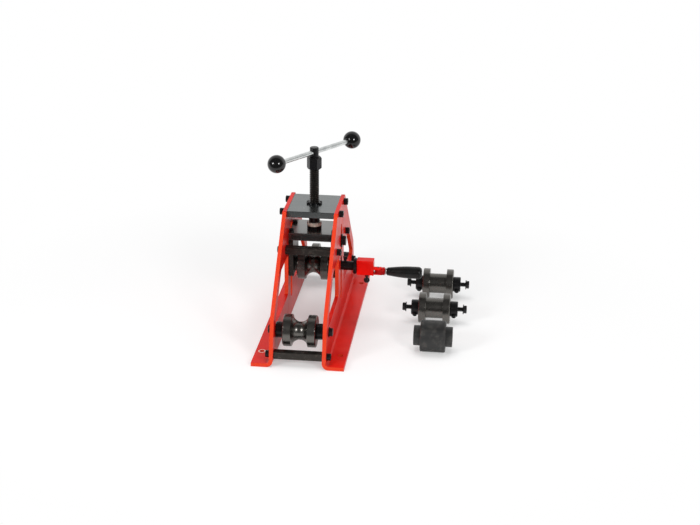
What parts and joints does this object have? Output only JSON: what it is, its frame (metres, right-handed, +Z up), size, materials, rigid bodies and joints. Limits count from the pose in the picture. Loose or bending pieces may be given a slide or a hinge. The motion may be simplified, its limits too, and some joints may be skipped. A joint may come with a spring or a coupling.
{
  "type": "ring roller",
  "caption": "Bench ring roller: folded side plates, fixed grooved bottom rollers, driven top roller on a screw-pressed carriage, ratchet handle and loose spare rollers.",
  "frame": {"origin": "floor level, centre of the rectangle of bench bolt holes in the two foot flanges", "axes": "+X along the roller axes towards the ratchet handle, +Y along the pipe path away from the front, +Z up along the pressure screw"},
  "size_m": [0.4244, 0.508, 0.3977],
  "materials": {
    "red_paint": "glossy baked paint",
    "dark_plate": "blackened steel with a soft sheen",
    "dark_steel": "blackened hot rolled bar",
    "blacked_rollers": "turned and blackened steel",
    "black_steel": "black oxide",
    "bright_steel": "bright zinc",
    "bronze": "turned bronze",
    "black_ball": "polished",
    "black_grip": "satin moulded"
  },
  "bodies": {
    "frame": {"left_side_plate": "red_paint", "right_side_plate": "red_paint", "top_plate": "dark_plate", "screw_nut": "black_steel", "front_base_bar": "dark_steel", "rear_base_bar": "dark_steel", "front_tie_bar": "dark_steel", "rear_tie_bar": "dark_steel", "frame_bolts": "black_steel", "axle_fasteners": "black_steel", "front_axle": "black_steel", "rear_axle": "black_steel", "axle_collars": "black_steel"},
    "front_roller": {"front_die": "blacked_rollers", "front_die_bush": "bronze"},
    "rear_roller": {"rear_die": "blacked_rollers", "rear_die_bush": "bronze"},
    "carriage": {"carriage_plate": "dark_plate", "left_cheek": "dark_steel", "right_cheek": "dark_steel", "carriage_cap_screws": "black_steel", "guide_bolts": "black_steel", "guide_sleeves": "black_steel", "shaft_bushes": "bronze", "screw_socket": "black_steel", "thrust_bearing": "bright_steel"},
    "screw": {"pressure_screw": "black_steel", "screw_head": "black_steel", "head_pin": "black_steel", "screw_lock_collar": "black_steel", "spindle_clip": "black_steel"},
    "tommy_bar": {"tommy_bar": "bright_steel", "ball_knobs": "black_ball"},
    "drive_roller": {"drive_shaft": "black_steel", "top_die": "blacked_rollers", "drive_keys": "bright_steel", "drive_sleeve": "black_steel", "sleeve_lock_screw": "black_steel", "ratchet_wheel": "black_steel", "shaft_end_clip": "bright_steel"},
    "ratchet_head": {"ratchet_housing": "red_paint", "housing_bush": "bronze", "handle_hinge_pin": "black_steel", "plunger_guide": "black_steel", "plunger_spring": "bright_steel"},
    "plunger": {"pawl_plunger": "black_steel", "plunger_knob": "black_steel"},
    "handle": {"handle_tongue": "red_paint", "handle_rod": "bright_steel", "handle_ferrule": "bright_steel", "handle_grip": "black_grip"},
    "spare_set_a": {"spare_a_axle": "black_steel", "spare_a_collars": "black_steel", "spare_a_fasteners": "black_steel"},
    "spare_roller_a": {"spare_a_die": "blacked_rollers"},
    "spare_set_b": {"spare_b_axle": "black_steel", "spare_b_collars": "black_steel", "spare_b_fasteners": "black_steel"},
    "spare_roller_b": {"spare_b_die": "blacked_rollers"},
    "spare_drum": {"spare_drum": "blacked_rollers"}
  },
  "joints": [
    {"name": "carriage_lift", "type": "slide", "parent": "frame", "child": "carriage", "axis": [0, 0, 1], "range_m": [-0.04401, 0.01201]},
    {"name": "screw_turn", "type": "hinge", "parent": "carriage", "child": "screw", "pos_m": [0, 0, 0.3], "axis": [0, 0, 1], "range_deg": [-3960, 1080]},
    {"name": "tommy_bar_slide", "type": "slide", "parent": "screw", "child": "tommy_bar", "axis": [0.5707, 0.8211, 0], "range_m": [-0.085, 0.079]},
    {"name": "drive_spin", "type": "hinge", "parent": "carriage", "child": "drive_roller", "pos_m": [0, 0, 0.1285], "axis": [1, 0, 0], "continuous": true},
    {"name": "ratchet_swing", "type": "hinge", "parent": "drive_roller", "child": "ratchet_head", "pos_m": [0.11, 0, 0.1285], "axis": [1, 0, 0], "continuous": true},
    {"name": "plunger_engage", "type": "slide", "parent": "ratchet_head", "child": "plunger", "axis": [0, 0, 1], "range_m": [0, 0.0032], "deforming": ["plunger_spring"]},
    {"name": "handle_fold", "type": "hinge", "parent": "ratchet_head", "child": "handle", "pos_m": [0.1378, 0, 0.1195], "axis": [0, 0, 1], "range_deg": [0, 90]},
    {"name": "front_roller_spin", "type": "hinge", "parent": "frame", "child": "front_roller", "pos_m": [0, -0.204, 0.0625], "axis": [1, 0, 0], "continuous": true},
    {"name": "rear_roller_spin", "type": "hinge", "parent": "frame", "child": "rear_roller", "pos_m": [0, 0.204, 0.0625], "axis": [1, 0, 0], "continuous": true},
    {"name": "spare_a_away", "type": "slide", "parent": "frame", "child": "spare_set_a", "axis": [1, 0, 0], "range_m": [0, 0.15]},
    {"name": "spare_a_spin", "type": "hinge", "parent": "spare_set_a", "child": "spare_roller_a", "pos_m": [0.2595, 0.158, 0.033], "axis": [1, 0, 0], "continuous": true},
    {"name": "spare_b_away", "type": "slide", "parent": "frame", "child": "spare_set_b", "axis": [1, 0, 0], "range_m": [0, 0.15]},
    {"name": "spare_b_spin", "type": "hinge", "parent": "spare_set_b", "child": "spare_roller_b", "pos_m": [0.26, 0.017, 0.033], "axis": [1, 0, 0], "continuous": true},
    {"name": "spare_drum_away", "type": "slide", "parent": "frame", "child": "spare_drum", "axis": [1, 0, 0], "range_m": [0, 0.15]}
  ],
  "couplings": [
    {"joint": "carriage_lift", "follows": "screw_turn", "m_per_rad": 0.00063662}
  ]
}
